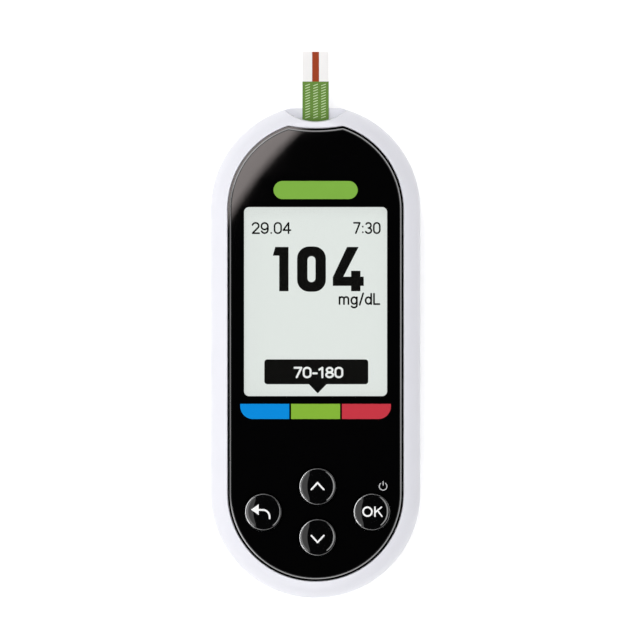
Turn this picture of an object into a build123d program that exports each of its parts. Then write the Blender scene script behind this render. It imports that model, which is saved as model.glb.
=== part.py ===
from build123d import *
import os
from math import cos, radians, sin, sqrt

# Blood glucose meter lying on its back.  X is to the right of the face, Y points to the
# strip port, Z comes out of the face.  The origin is the middle of the flat back.
# All sizes are in millimetres.

# ---------------------------------------------------------------- driving dimensions

# Case, a stadium in plan
case_width = 43.0
case_length = 101.0
wall = 1.6
back_edge_radius = 7.0
rim_width = 3.6              # white rim seen round the face panel
belt_height = 0.4            # upright band of the front half over the parting line
parting_bevel = 0.15
tongue_width = 0.7
tongue_height = 1.0
tongue_clearance = 0.1

# Battery bay and door
door_width = 25.0
door_thickness = 1.8
door_clearance = 0.15
door_top_margin = 2.8        # door past the upper cell pocket
door_corner = 2.0
door_rail_reach = 0.8
door_rail_height = 0.6
door_tongue_width = 8.0
door_tongue_reach = 2.2
grip_width = 10.0
grip_groove = 0.7
grip_depth = 0.3
grip_pitch = 1.5
grip_count = 4
bay_plate = 1.25
cell_diameter = 20.0
cell_height = 3.2
cell_side_gap = 0.2
cell_door_gap = 0.3
cell_web = 1.1               # between the two cell pockets
lower_cell_from_end = 20.0
pocket_wall = 1.2
spring_room = 1.0
bay_ceiling = 0.8
spring_stock = 0.2
spring_width = 3.0
spring_slack = 0.1
ribbon_width = 5.0
ribbon_stock = 0.1
ribbon_x = -5.0

# Main board
board_gap = 0.3              # over the bay ceiling
board_thickness = 1.0
board_side_gap = 0.9
parting_above_board = 0.6

# Display, from the board up
frame_floor = 0.8
guide_thickness = 2.15
glass_thickness = 0.7
film_thickness = 0.15
gasket_thickness = 0.3
window_side_margin = 3.3     # panel edge to window
window_from_top = 21.0       # top end of the case to window
window_from_bottom = 41.4    # bottom end of the case to window
window_corner = 1.0
glass_margin = 0.9
glass_ledge = 3.4            # rear glass past the front glass, for the flex
frame_wall = 0.7
display_clearance = 0.1
deck_clearance = 0.2

# Front deck and face panel
deck_thickness = 1.2
adhesive_thickness = 0.15
panel_thickness = 1.6
panel_gap = 0.1
rim_bevel = 0.2
panel_border = 0.35
panel_bevel = 0.37
bevel_height = 0.3
panel_proud = 0.35
notch_depth = 1.4            # concave top of the panel, under the strip port
notch_radius = 32.0
inlay_depth = 0.3
inlay_clearance = 0.02
pill_length = 17.2
pill_width = 3.7
pill_above_window = 3.5      # pill centre over the window
bar_height = 3.1
bar_below_window = 1.6
bar_side_margin = 2.5        # panel edge to bar
bar_split = 0.38
bar_corner = 2.6

# Keys
key_diameter = 7.5
key_gap = 0.3
key_hole_bevel = 0.15
key_rise = 0.8               # crown over the panel
key_edge_rise = 0.2          # shoulder of the dome over the panel
key_edge_radius = 0.25
key_from_side = 6.8          # panel edge to the outer keys' centres
key_pitch_y = 5.2            # middle of the group to the up and down keys
keys_x = 0.4
keys_from_end = 17.7
key_travel = 0.5
key_flange_reach = 0.95
key_flange_thickness = 0.8
key_play = 0.1
key_boss_diameter = 3.2
dome_diameter = 5.0
dome_height = 0.3
mat_thickness = 0.8
mat_margin = 0.5
mat_hole_gap = 0.8
collar_width = 0.7

# Screws
screw_diameter = 1.9
screw_length = 7.2
screw_head_diameter = 3.5
screw_head_height = 1.4
screw_slot = 0.5
screw_slot_depth = 0.6
screw_clearance = 0.15
boss_radius = 2.6
boss_to_wall = 1.8
front_boss_radius = 2.2
upper_screw_angle = 30.0
lower_screw_angle = 60.0

# Strip port and test strip
scoop_depth = 3.3            # top end of the case to the foot of the scoop
scoop_radius = 10.1
scoop_flare = 0.3            # more radius at the top of the scoop
shelf_flat = 0.63
port_block_width = 16.0
lip_width = 2.2              # solid behind the foot of the scoop
strip_width = 5.4
strip_length = 25.5
strip_out = 14.2             # past the foot of the scoop
strip_base_thickness = 0.25
strip_film_thickness = 0.15
strip_lift = 0.15
strip_side_gap = 0.3
strip_over_gap = 0.35
grip_out = 8.1               # green part past the foot of the scoop
grip_in = 4.8
channel_width = 1.4
pad_width = 1.0
pad_length = 4.5
pad_thickness = 0.03
pad_pitch = 1.7
connector_wall = 1.5
connector_roof = 1.0
connector_end = 0.8
connector_gap = 0.2
contact_stock = 0.2
contact_width = 0.7
contact_slit_gap = 0.1

# Data port on the left side
usb_from_top = 21.2
usb_width = 7.5
usb_height = 2.5
usb_depth = 5.0
usb_wall = 0.3
usb_bevel = 0.8
usb_setback = 0.9            # mouth behind the case side
usb_clearance = 0.3
usb_flare = 0.5              # more clearance at the outside
usb_tongue_thickness = 0.6

# Chips on the underside of the board
chip_size = 7.0
chip_height = 1.0
memory_length = 5.0
memory_width = 4.0
crystal_length = 3.2
crystal_width = 1.5
crystal_height = 0.8
small_part_length = 1.6
small_part_width = 0.8
small_part_height = 0.5
small_part_pitch = 2.6
small_part_count = 8
led_size = 2.0
led_height = 0.7
post_radius = 1.2

# Display flex and its connector
flex_width = 12.0
flex_stock = 0.15
flex_bend = 0.5
flex_connector_depth = 2.8
flex_connector_height = 1.2

# ---------------------------------------------------------------- worked-out places

half_width = case_width / 2
half_length = case_length / 2
end_y = half_length - half_width                 # centres of the round ends

bay_z = door_thickness + door_clearance
cell_z = door_thickness + cell_door_gap
cell_top_z = cell_z + cell_height
ceiling_z = cell_top_z + spring_room
board_z = ceiling_z + bay_ceiling + board_gap
board_top_z = board_z + board_thickness
parting_z = board_top_z + parting_above_board

guide_z = board_top_z + frame_floor
rear_glass_z = guide_z + guide_thickness
front_glass_z = rear_glass_z + glass_thickness
film_z = front_glass_z + glass_thickness
gasket_z = film_z + film_thickness
panel_z = gasket_z + gasket_thickness
panel_top_z = panel_z + panel_thickness
deck_top_z = panel_z - adhesive_thickness
deck_z = deck_top_z - deck_thickness
rim_z = panel_top_z - panel_proud
crown_z = panel_top_z + key_rise

panel_half = half_width - rim_width
window_half = panel_half - window_side_margin
window_top_y = half_length - window_from_top
window_bottom_y = window_from_bottom - half_length
window_length = window_top_y - window_bottom_y
window_y = (window_top_y + window_bottom_y) / 2
glass_half = window_half + glass_margin
glass_top_y = window_top_y + glass_margin
glass_bottom_y = window_bottom_y - glass_margin
rear_glass_bottom_y = glass_bottom_y - glass_ledge
frame_half = glass_half + display_clearance + frame_wall
frame_top_y = glass_top_y + display_clearance + frame_wall
frame_bottom_y = rear_glass_bottom_y - display_clearance - frame_wall

keys_y = keys_from_end - half_length
key_radius = key_diameter / 2
key_pitch_x = panel_half - key_from_side
key_hole_radius = key_radius + key_gap
flange_radius = key_radius + key_flange_reach
flange_z = deck_z - key_play - key_flange_thickness
boss_z = board_top_z + dome_height + key_travel + key_play
collar_z = flange_z - key_travel - key_play
key_places = {
    "back": (keys_x - key_pitch_x, keys_y),
    "up": (keys_x, keys_y + key_pitch_y),
    "down": (keys_x, keys_y - key_pitch_y),
    "ok": (keys_x + key_pitch_x, keys_y),
}

cell_radius = cell_diameter / 2
pocket_radius = cell_radius + cell_side_gap
lower_cell_y = lower_cell_from_end - half_length
upper_cell_y = lower_cell_y + 2 * pocket_radius + cell_web
door_half = door_width / 2
door_top_y = upper_cell_y + pocket_radius + door_top_margin
rail_z = door_thickness / 2

screw_circle = half_width - wall - boss_radius - boss_to_wall
upper_screw_x = screw_circle * cos(radians(upper_screw_angle))
upper_screw_y = end_y + screw_circle * sin(radians(upper_screw_angle))
lower_screw_x = screw_circle * cos(radians(lower_screw_angle))
lower_screw_y = -end_y - screw_circle * sin(radians(lower_screw_angle))
screw_places = [
    (upper_screw_x, upper_screw_y),
    (-upper_screw_x, upper_screw_y),
    (lower_screw_x, lower_screw_y),
    (-lower_screw_x, lower_screw_y),
]
screw_seat_z = bay_z + screw_head_height + screw_clearance
screw_end_z = screw_seat_z + screw_length

lip_y = half_length - scoop_depth
block_y = lip_y - lip_width
block_half = port_block_width / 2
strip_z = parting_z + strip_lift
strip_top_z = strip_z + strip_base_thickness
strip_cover_z = strip_top_z + strip_film_thickness
strip_tip_y = lip_y + strip_out
strip_inner_y = strip_tip_y - strip_length
slot_half = strip_width / 2 + strip_side_gap
slot_top_z = strip_cover_z + strip_over_gap
grip_top_y = lip_y + grip_out
grip_bottom_y = lip_y - grip_in
connector_half = slot_half + connector_wall
connector_front_y = block_y - connector_gap
connector_back_y = strip_inner_y - connector_gap - connector_end
connector_top_z = slot_top_z + connector_roof
board_end_y = block_y - connector_gap
board_half = half_width - wall - board_side_gap

usb_y = half_length - usb_from_top
usb_mouth_x = usb_setback - half_width
usb_z = board_z - usb_height
flex_connector_y = frame_bottom_y - flex_bend - flex_connector_depth

# ---------------------------------------------------------------- shared forms


def block(x_low, x_high, y_low, y_high, z_low, z_high):
    """Box between two corners."""
    size = (x_high - x_low, y_high - y_low, z_high - z_low)
    return Pos(x_low, y_low, z_low) * Box(*size, align=(Align.MIN, Align.MIN, Align.MIN))


def disc(x, y, radius, z_low, z_high):
    """Upright cylinder."""
    cylinder = Cylinder(radius, z_high - z_low, align=(Align.CENTER, Align.CENTER, Align.MIN))
    return Pos(x, y, z_low) * cylinder


def plate(outline, z_low, z_high):
    """Flat outline made into a plate between two heights."""
    return Pos(0, 0, z_low) * extrude(outline, z_high - z_low)


def stadium(half):
    """Stadium outline that shares the centres of the case's round ends."""
    return SlotCenterToCenter(2 * end_y, 2 * half, rotation=90)


def round_the_case(profile):
    """Carry a half section, drawn outwards from the middle, all round the stadium."""
    section = Plane.XZ * profile
    end = revolve(Pos(0, end_y, 0) * section, Axis((0, end_y, 0), (0, 0, 1)), 180)
    side = extrude(Pos(0, -end_y, 0) * section, 2 * end_y, dir=(0, 1, 0))
    half = end + side
    return half + Rot(0, 0, 180) * half


def ring_section(inner, outer, z_low, z_high):
    """Rectangular half section of a band round the case."""
    centre = Pos((inner + outer) / 2, (z_low + z_high) / 2)
    return centre * Rectangle(outer - inner, z_high - z_low)


def strip_of_metal(points, bend, stock, width, plane):
    """Bent leaf: a centre line in the given plane, with thickness and width."""
    line = FilletPolyline(*points, radius=bend)
    leaf = extrude(trace(line, stock), width / 2, both=True)
    return plane * leaf


def back_section(inset):
    """Half section of the case's back half, inset from the outside."""
    centre_x = half_width - back_edge_radius
    side_x = half_width - inset
    floor = Line((0, inset), (centre_x, inset))
    bend = CenterArc((centre_x, back_edge_radius), back_edge_radius - inset, -90, 90)
    side = Line((side_x, back_edge_radius), (side_x, parting_z - parting_bevel))
    bevel = Line(side @ 1, (side_x - parting_bevel, parting_z))
    top = Line(bevel @ 1, (0, parting_z))
    middle = Line(top @ 1, (0, inset))
    return make_face([floor, bend, side, bevel, top, middle])


def front_section():
    """Half section of the case's front half, rounded from the belt up to the panel."""
    belt_z = parting_z + belt_height
    rim_x = panel_half + panel_gap
    bevel = Line((half_width - parting_bevel, parting_z), (half_width, parting_z + parting_bevel))
    belt = Line(bevel @ 1, (half_width, belt_z))
    shoulder = TangentArc(belt @ 1, (rim_x, rim_z), tangent=(0, 1))
    top = Line(shoulder @ 1, (0, rim_z))
    middle = Line(top @ 1, (0, parting_z))
    bottom = Line(middle @ 1, bevel @ 0)
    return make_face([bevel, belt, shoulder, top, middle, bottom])


def panel_outline(grow):
    """Face panel's outline, grown or shrunk, with its concave top."""
    notch_y = end_y + panel_half - notch_depth + notch_radius
    return stadium(panel_half + grow) - Pos(0, notch_y) * Circle(notch_radius - grow)


def window_outline(grow):
    """Display window's outline."""
    outline = RectangleRounded(2 * (window_half + grow), window_length + 2 * grow, window_corner + grow)
    return Pos(0, window_y) * outline


def display_box(half, top_y, bottom_y, z_low, z_high):
    """Block centred on the display."""
    return block(-half, half, bottom_y, top_y, z_low, z_high)


# ---------------------------------------------------------------- case


def port_block(form, z_low, z_high):
    """Solid stretch of a case half round the strip port."""
    return form & block(-block_half, block_half, block_y, half_length, z_low, z_high)


def battery_bay(form):
    """Plate over the door, with the two cell cups standing on it."""
    outer_half = door_half + door_clearance + door_rail_reach + door_clearance + wall
    top_y = door_top_y + door_clearance + door_tongue_reach + door_clearance + wall
    bay = form & block(-outer_half, outer_half, -half_length, top_y, 0, bay_z + bay_plate)
    for cell_y in (upper_cell_y, lower_cell_y):
        bay += disc(0, cell_y, pocket_radius + pocket_wall, bay_z, ceiling_z + bay_ceiling)
    return bay


def door_well():
    """Space that the door slides in, with its rail grooves and tongue pocket."""
    well_half = door_half + door_clearance
    top_y = door_top_y + door_clearance
    well = block(-well_half, well_half, -half_length, top_y, 0, bay_z)
    rail_half = well_half + door_rail_reach
    rail_low_z = rail_z - door_clearance
    rail_high_z = rail_z + door_rail_height + door_clearance
    well += block(-rail_half, rail_half, -half_length, top_y, rail_low_z, rail_high_z)
    tongue_half = door_tongue_width / 2 + door_clearance
    tongue_y = top_y + door_tongue_reach
    well += block(-tongue_half, tongue_half, door_top_y, tongue_y, rail_low_z, bay_z)
    return well


def cell_pockets():
    """Round pockets, with room for the side springs, the roof springs' legs and the ribbon."""
    half = spring_width / 2 + spring_slack
    cut = Part()
    for cell_y in (upper_cell_y, lower_cell_y):
        cut += disc(0, cell_y, pocket_radius, bay_z, ceiling_z)
        side_x = pocket_radius + pocket_wall
        cut += block(cell_radius, side_x, cell_y - half, cell_y + half, bay_z, board_z)
        leg_y = cell_y + cell_radius - spring_width
        cut += block(-half, half, leg_y - spring_stock, leg_y + spring_stock, ceiling_z, board_z)
    low_x = ribbon_x - ribbon_width / 2 - cell_side_gap
    high_x = ribbon_x + ribbon_width / 2 + cell_side_gap
    cut += block(low_x, high_x, lower_cell_y, upper_cell_y, cell_top_z, ceiling_z)
    cut += block(low_x, high_x, upper_cell_y, ribbon_fold_y() + 2 * ribbon_stock, bay_z, ceiling_z)
    return cut


def screw_holes(z_low):
    """Clearance holes through the back bosses, with deep seats for the heads."""
    cut = Part()
    for x, y in screw_places:
        cut += disc(x, y, screw_diameter / 2 + screw_clearance, z_low, board_z)
        cut += disc(x, y, screw_head_diameter / 2 + screw_clearance, z_low, screw_seat_z)
    return cut


def usb_outline(grow):
    """Data port's outline: a rectangle with its two lower corners cut off."""
    half = usb_width / 2 + grow
    low = -usb_height / 2 - grow
    high = usb_height / 2 + grow
    points = [
        (-half, high),
        (-half, low + usb_bevel),
        (usb_bevel - half, low),
        (half - usb_bevel, low),
        (half, low + usb_bevel),
        (half, high),
    ]
    return Polygon(*points, align=None)


def usb_plane(x):
    """Plane across the data port's axis."""
    return Plane(origin=(x, usb_y, usb_z + usb_height / 2), x_dir=(0, 1, 0), z_dir=(1, 0, 0))


def usb_prism(grow, x_low, x_high):
    """Data port's outline carried through the case side."""
    return usb_plane(x_low) * extrude(usb_outline(grow), x_high - x_low)


def usb_mouth():
    """Opening in the case side, flared at the outside."""
    mouth = usb_prism(usb_clearance, -half_width, usb_mouth_x + usb_depth)
    outside = usb_plane(-half_width) * usb_outline(usb_clearance + usb_flare)
    inside = usb_plane(usb_mouth_x) * usb_outline(usb_clearance)
    return mouth + loft([outside.face(), inside.face()], ruled=True)


def rear_shell():
    form = round_the_case(back_section(0))
    shell = form - round_the_case(back_section(wall))
    shell += battery_bay(form)
    shell += port_block(form, board_z - wall, parting_z)
    for x, y in screw_places:
        shell += form & disc(x, y, boss_radius, 0, board_z)
    for side in (-1, 1):
        shell += disc(side * (board_half - 2 * post_radius), window_y, post_radius, wall, board_z)
    inner = half_width - wall
    tongue = round_the_case(ring_section(inner, inner + tongue_width, parting_z, parting_z + tongue_height))
    gap_half = block_half + tongue_clearance
    shell += tongue - block(-gap_half, gap_half, 0, half_length, parting_z, rim_z)
    shell -= door_well()
    shell -= cell_pockets()
    shell -= screw_holes(0)
    shell -= usb_mouth()
    flat_half = sqrt(half_width**2 - (half_width - shelf_flat) ** 2)
    flat_y = half_length - shelf_flat
    shell -= block(-flat_half, flat_half, flat_y, half_length, 0, parting_z)
    return shell


def scoop():
    """Flared bite out of the top end, over the shelf that the strip lies on."""
    height = rim_z - parting_z
    bite = Cone(scoop_radius, scoop_radius + scoop_flare, height, align=(Align.CENTER, Align.CENTER, Align.MIN))
    return Pos(0, lip_y + scoop_radius, parting_z) * bite


def front_shell():
    form = round_the_case(front_section())
    inner = half_width - wall
    shell = form - plate(stadium(inner), parting_z, deck_z)
    groove_outer = inner + tongue_width + tongue_clearance
    groove_z = parting_z + tongue_height + tongue_clearance
    shell -= round_the_case(ring_section(inner, groove_outer, parting_z, groove_z))
    shell += port_block(form, parting_z, rim_z)
    shell -= plate(panel_outline(panel_gap), deck_top_z, rim_z)
    bevel_foot = Pos(0, 0, rim_z - rim_bevel) * panel_outline(panel_gap)
    bevel_top = Pos(0, 0, rim_z) * panel_outline(panel_gap + rim_bevel)
    shell -= loft([bevel_foot.face(), bevel_top.face()], ruled=True)
    opening_half = frame_half + deck_clearance
    opening = (opening_half, frame_top_y + deck_clearance, frame_bottom_y - deck_clearance)
    shell -= display_box(*opening, deck_z, deck_top_z)
    for x, y in key_places.values():
        shell -= disc(x, y, key_hole_radius, deck_z, deck_top_z)
    for x, y in screw_places:
        shell += disc(x, y, front_boss_radius, board_top_z, deck_z)
        shell -= disc(x, y, screw_diameter / 2 + inlay_clearance, board_top_z, screw_end_z + screw_clearance)
    shell -= scoop()
    shell -= block(-slot_half, slot_half, block_y, half_length, parting_z, slot_top_z)
    return shell


def battery_door():
    form = round_the_case(back_section(0))
    outline = block(-door_half, door_half, -half_length, door_top_y, 0, door_thickness)
    outline = fillet(outline.edges().filter_by(Axis.Z).group_by(Axis.Y)[-1], door_corner)
    door = form & outline
    rail_half = door_half + door_rail_reach
    rail_low_y = lower_cell_y - cell_radius + door_corner
    rail_high_y = door_top_y - door_corner
    rail_high_z = rail_z + door_rail_height
    door += block(-rail_half, rail_half, rail_low_y, rail_high_y, rail_z, rail_high_z)
    tongue_half = door_tongue_width / 2
    tongue_y = door_top_y + door_tongue_reach
    door += block(-tongue_half, tongue_half, door_top_y - wall, tongue_y, rail_z, door_thickness)
    for number in range(grip_count):
        groove_y = door_top_y - door_corner - number * grip_pitch
        half = grip_width / 2
        door -= block(-half, half, groove_y - grip_groove, groove_y, 0, grip_depth)
    return door


def case_screws():
    screws = []
    for x, y in screw_places:
        screw = disc(x, y, screw_diameter / 2, screw_seat_z, screw_end_z)
        head_z = screw_seat_z - screw_head_height
        screw += disc(x, y, screw_head_diameter / 2, head_z, screw_seat_z)
        reach = screw_head_diameter / 2 - screw_slot
        half = screw_slot / 2
        slot_z = head_z + screw_slot_depth
        screw -= block(x - reach, x + reach, y - half, y + half, head_z, slot_z)
        screw -= block(x - half, x + half, y - reach, y + reach, head_z, slot_z)
        screws.append(screw)
    return Compound(screws)


# ---------------------------------------------------------------- face


def range_bar_outline(x_low, x_high, grow):
    """One third of the range bar; the two outer lower corners are rounded by the whole bar."""
    top_y = window_bottom_y - bar_below_window
    bottom_y = top_y - bar_height
    bar_half = panel_half - bar_side_margin
    whole = Pos(0, (top_y + bottom_y) / 2) * Rectangle(2 * bar_half, bar_height)
    whole = fillet(whole.vertices().group_by(Axis.Y)[0], bar_corner)
    middle = Pos((x_low + x_high) / 2, (top_y + bottom_y) / 2)
    third = whole & middle * Rectangle(x_high - x_low, bar_height)
    return offset(third, grow, kind=Kind.INTERSECTION) if grow else third


def range_bar_spans():
    """Left and right edges of the three bars."""
    bar_half = panel_half - bar_side_margin
    length = (2 * bar_half - 2 * bar_split) / 3
    return [(-bar_half + n * (length + bar_split), -bar_half + n * (length + bar_split) + length) for n in range(3)]


def pill_outline(grow):
    place = Pos(0, window_top_y + pill_above_window)
    return place * SlotOverall(pill_length + 2 * grow, pill_width + 2 * grow)


def face_panel():
    raised_z = panel_top_z - bevel_height
    panel = plate(panel_outline(0), panel_z, raised_z)
    foot = Pos(0, 0, raised_z) * panel_outline(-panel_border)
    top = Pos(0, 0, panel_top_z) * panel_outline(-panel_border - panel_bevel)
    panel += loft([foot.face(), top.face()], ruled=True)
    panel -= plate(window_outline(inlay_clearance), panel_z, panel_top_z)
    bevel = Cone(key_hole_radius, key_hole_radius + key_hole_bevel, key_hole_bevel)
    for x, y in key_places.values():
        panel -= disc(x, y, key_hole_radius, panel_z, panel_top_z)
        panel -= Pos(x, y, panel_top_z - key_hole_bevel / 2) * bevel
    inlay_z = panel_top_z - inlay_depth
    for span in range_bar_spans():
        panel -= plate(range_bar_outline(*span, inlay_clearance), inlay_z, panel_top_z)
    panel -= plate(pill_outline(inlay_clearance), inlay_z, panel_top_z)
    return panel


def panel_adhesive():
    sheet = plate(panel_outline(-panel_border), deck_top_z, panel_z)
    opening_half = frame_half + deck_clearance
    opening = (opening_half, frame_top_y + deck_clearance, frame_bottom_y - deck_clearance)
    sheet -= display_box(*opening, deck_top_z, panel_z)
    for x, y in key_places.values():
        sheet -= disc(x, y, key_hole_radius, deck_top_z, panel_z)
    return sheet


def display_window():
    return plate(window_outline(0), panel_z, panel_top_z)


def range_bar(number):
    span = range_bar_spans()[number]
    return plate(range_bar_outline(*span, 0), panel_top_z - inlay_depth, panel_top_z)


def badge_pill():
    return plate(pill_outline(0), panel_top_z - inlay_depth, panel_top_z)


# ---------------------------------------------------------------- keys


def key_cap(x, y):
    """Domed cap with the flange that keeps it under the deck."""
    shoulder_z = panel_top_z + key_edge_rise
    edge_x = key_radius - key_edge_radius
    edge_z = shoulder_z + key_edge_radius
    points = [
        (0, flange_z),
        (flange_radius, flange_z),
        (flange_radius, flange_z + key_flange_thickness),
        (key_radius, flange_z + key_flange_thickness),
        (key_radius, shoulder_z),
    ]
    side = Polyline(*points)
    edge = TangentArc(side @ 1, (edge_x, edge_z), tangent=(0, 1))
    rise = crown_z - edge_z
    crown = RadiusArc(edge @ 1, (0, crown_z), -(edge_x**2 + rise**2) / (2 * rise))
    axis = Line(crown @ 1, (0, flange_z))
    section = Plane.XZ * make_face([side, edge, crown, axis])
    return Pos(x, y, 0) * revolve(section, Axis.Z, 360)


def key_boss(x, y):
    """Silicone boss under a cap, which pushes the snap dome."""
    return disc(x, y, key_boss_diameter / 2, boss_z, flange_z)


def key_mat():
    """Silicone mat round the snap domes, with a collar that stops each cap."""
    reach = flange_radius + mat_margin
    circles = Sketch() + [Pos(x, y) * Circle(reach) for x, y in key_places.values()]
    outline = make_hull(circles.edges())
    for x, y in screw_places:
        outline -= Pos(x, y) * Circle(front_boss_radius + key_gap)
    mat = plate(outline, board_top_z, board_top_z + mat_thickness)
    for x, y in key_places.values():
        mat += disc(x, y, flange_radius, board_top_z, collar_z)
        mat -= disc(x, y, flange_radius - collar_width, board_top_z + mat_thickness, collar_z)
        mat -= disc(x, y, dome_diameter / 2 + mat_hole_gap, board_top_z, collar_z)
    return mat


def snap_domes():
    """Pressed steel discs with sloping skirts and flat crowns."""
    dome = Cone(dome_diameter / 2, key_boss_diameter / 2, dome_height)
    return Compound([Pos(x, y, board_top_z + dome_height / 2) * dome for x, y in key_places.values()])


# ---------------------------------------------------------------- display


def lcd_frame():
    """Tray that holds the light guide and the glass, notched for the flex."""
    frame = display_box(frame_half, frame_top_y, frame_bottom_y, board_top_z, front_glass_z)
    hollow = glass_half + display_clearance
    top_y = glass_top_y + display_clearance
    bottom_y = rear_glass_bottom_y - display_clearance
    frame -= display_box(hollow, top_y, bottom_y, guide_z, front_glass_z)
    notch_half = flex_width / 2 + display_clearance
    frame -= block(-notch_half, notch_half, frame_bottom_y, bottom_y, board_top_z, front_glass_z)
    return frame


def light_guide():
    low_y = glass_bottom_y
    return display_box(glass_half, glass_top_y, low_y, guide_z, rear_glass_z)


def backlight_leds():
    leds = []
    for side in (-1, 1):
        x = side * window_half / 2
        low_y = glass_bottom_y - display_clearance - led_height
        leds.append(block(x - led_size / 2, x + led_size / 2, low_y, low_y + led_height, guide_z, guide_z + led_size))
    return Compound(leds)


def lcd_rear_glass():
    return display_box(glass_half, glass_top_y, rear_glass_bottom_y, rear_glass_z, front_glass_z)


def lcd_front_glass():
    return display_box(glass_half, glass_top_y, glass_bottom_y, front_glass_z, film_z)


def display_film():
    film_half = glass_half - display_clearance
    top_y = glass_top_y - display_clearance
    return display_box(film_half, top_y, glass_bottom_y + display_clearance, film_z, gasket_z)


def display_gasket():
    outer = display_box(glass_half, glass_top_y, glass_bottom_y, gasket_z, panel_z)
    return outer - plate(window_outline(display_clearance), gasket_z, panel_z)


def lcd_flex():
    """Flat flex from the ledge of the rear glass down to its connector on the board."""
    top_z = front_glass_z + flex_stock / 2
    low_z = board_top_z + flex_connector_height / 2
    start_y = rear_glass_bottom_y + glass_ledge / 2
    drop_y = frame_bottom_y + frame_wall / 2
    end_y_in = flex_connector_y + flex_connector_depth
    points = [(start_y, top_z), (drop_y, top_z), (drop_y, low_z), (end_y_in, low_z)]
    return strip_of_metal(points, flex_bend * 0.8, flex_stock, flex_width, Plane.YZ)


def lcd_connector():
    half = flex_width / 2 + display_clearance
    high_y = flex_connector_y + flex_connector_depth
    return block(-half, half, flex_connector_y, high_y, board_top_z, board_top_z + flex_connector_height)


# ---------------------------------------------------------------- board


def main_board():
    board = plate(stadium(board_half), board_z, board_top_z)
    board -= block(-half_width, half_width, board_end_y, half_length, board_z, board_top_z)
    for x, y in screw_places:
        board -= disc(x, y, screw_diameter / 2 + screw_clearance, board_z, board_top_z)
    return board


def chip(x, y, width, length, height):
    """Package on the underside of the board."""
    return block(x - width / 2, x + width / 2, y - length / 2, y + length / 2, board_z - height, board_z)


def microcontroller():
    return chip(0, window_y + chip_size, chip_size, chip_size, chip_height)


def memory_chip():
    return chip(chip_size * 1.5, window_y + chip_size, memory_width, memory_length, chip_height)


def crystal():
    return chip(-chip_size, window_y + chip_size, crystal_width, crystal_length, crystal_height)


def chip_parts():
    parts = []
    middle = (small_part_count - 1) / 2
    row_y = window_y + 2 * chip_size
    for number in range(small_part_count):
        x = (number - middle) * small_part_pitch
        parts.append(chip(x, row_y, small_part_width, small_part_length, small_part_height))
    return Compound(parts)


def usb_shell():
    """Steel shell of the data port, open at the mouth."""
    back_x = usb_mouth_x + usb_depth
    return usb_prism(0, usb_mouth_x, back_x) - usb_prism(-usb_wall, usb_mouth_x, back_x)


def usb_tongue():
    """Plastic insert that closes the back of the shell and carries the contact tongue."""
    back_x = usb_mouth_x + usb_depth
    plug = usb_prism(-usb_wall, back_x - 1.5 * usb_wall, back_x)
    half = usb_width / 2 - 4 * usb_wall
    tongue_z = usb_z + usb_height - 3 * usb_wall
    low_x = usb_mouth_x + 2 * usb_wall
    return plug + block(low_x, back_x, usb_y - half, usb_y + half, tongue_z - usb_tongue_thickness, tongue_z)


# ---------------------------------------------------------------- strip port


def contact_places():
    return [-pad_pitch, 0, pad_pitch]


def strip_connector():
    """Housing on the board that the strip slides into, slit over its springs."""
    body = block(-connector_half, connector_half, connector_back_y, connector_front_y, board_top_z, connector_top_z)
    body -= block(-slot_half, slot_half, strip_inner_y - connector_gap, connector_front_y, parting_z, slot_top_z)
    half = contact_width / 2 + contact_slit_gap
    for x in contact_places():
        low_y = connector_back_y
        high_y = strip_inner_y + pad_length + connector_end
        body -= block(x - half, x + half, low_y, high_y, strip_top_z + pad_thickness, connector_top_z)
    return body


def strip_springs():
    """Bent contacts: a tail down to the board, an arm in the slit and a nose over each pad."""
    arm_z = slot_top_z + connector_roof / 2
    nose_z = strip_top_z + pad_thickness + spring_slack + contact_stock / 2
    tail_y = connector_back_y - contact_stock
    nose_y = strip_inner_y + pad_length / 2
    points = [
        (tail_y, board_top_z),
        (tail_y, arm_z),
        (strip_inner_y, arm_z),
        (nose_y, nose_z),
        (nose_y + pad_length / 3, arm_z - contact_stock),
    ]
    springs = []
    for x in contact_places():
        spring = strip_of_metal(points, contact_stock, contact_stock, contact_width, Plane.YZ)
        springs.append(Pos(x, 0, 0) * spring)
    return Compound(springs)


# ---------------------------------------------------------------- test strip


def strip_base():
    half = strip_width / 2
    return block(-half, half, strip_inner_y, strip_tip_y, strip_z, strip_top_z)


def strip_film():
    """White cover of the tip, split by the sample channel."""
    half = strip_width / 2
    slit = channel_width / 2
    film = block(-half, half, grip_top_y, strip_tip_y, strip_top_z, strip_cover_z)
    return film - block(-slit, slit, grip_top_y, strip_tip_y, strip_top_z, strip_cover_z)


def strip_channel():
    slit = channel_width / 2
    return block(-slit, slit, grip_top_y, strip_tip_y, strip_top_z, strip_cover_z)


def strip_grip():
    half = strip_width / 2
    return block(-half, half, grip_bottom_y, grip_top_y, strip_top_z, strip_cover_z)


def strip_pads():
    pads = []
    for x in contact_places():
        high_y = strip_inner_y + pad_length
        high_z = strip_top_z + pad_thickness
        pads.append(block(x - pad_width / 2, x + pad_width / 2, strip_inner_y, high_y, strip_top_z, high_z))
    return Compound(pads)


# ---------------------------------------------------------------- battery


def coin_cell(cell_y):
    """Coin cell with its narrower cap towards the roof springs."""
    rim = cell_height / 8
    cell = disc(0, cell_y, cell_radius, cell_z, cell_top_z - rim)
    cell = chamfer(cell.edges().group_by(Axis.Z)[0], rim)
    return cell + disc(0, cell_y, cell_radius - spring_room, cell_top_z - rim, cell_top_z)


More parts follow.
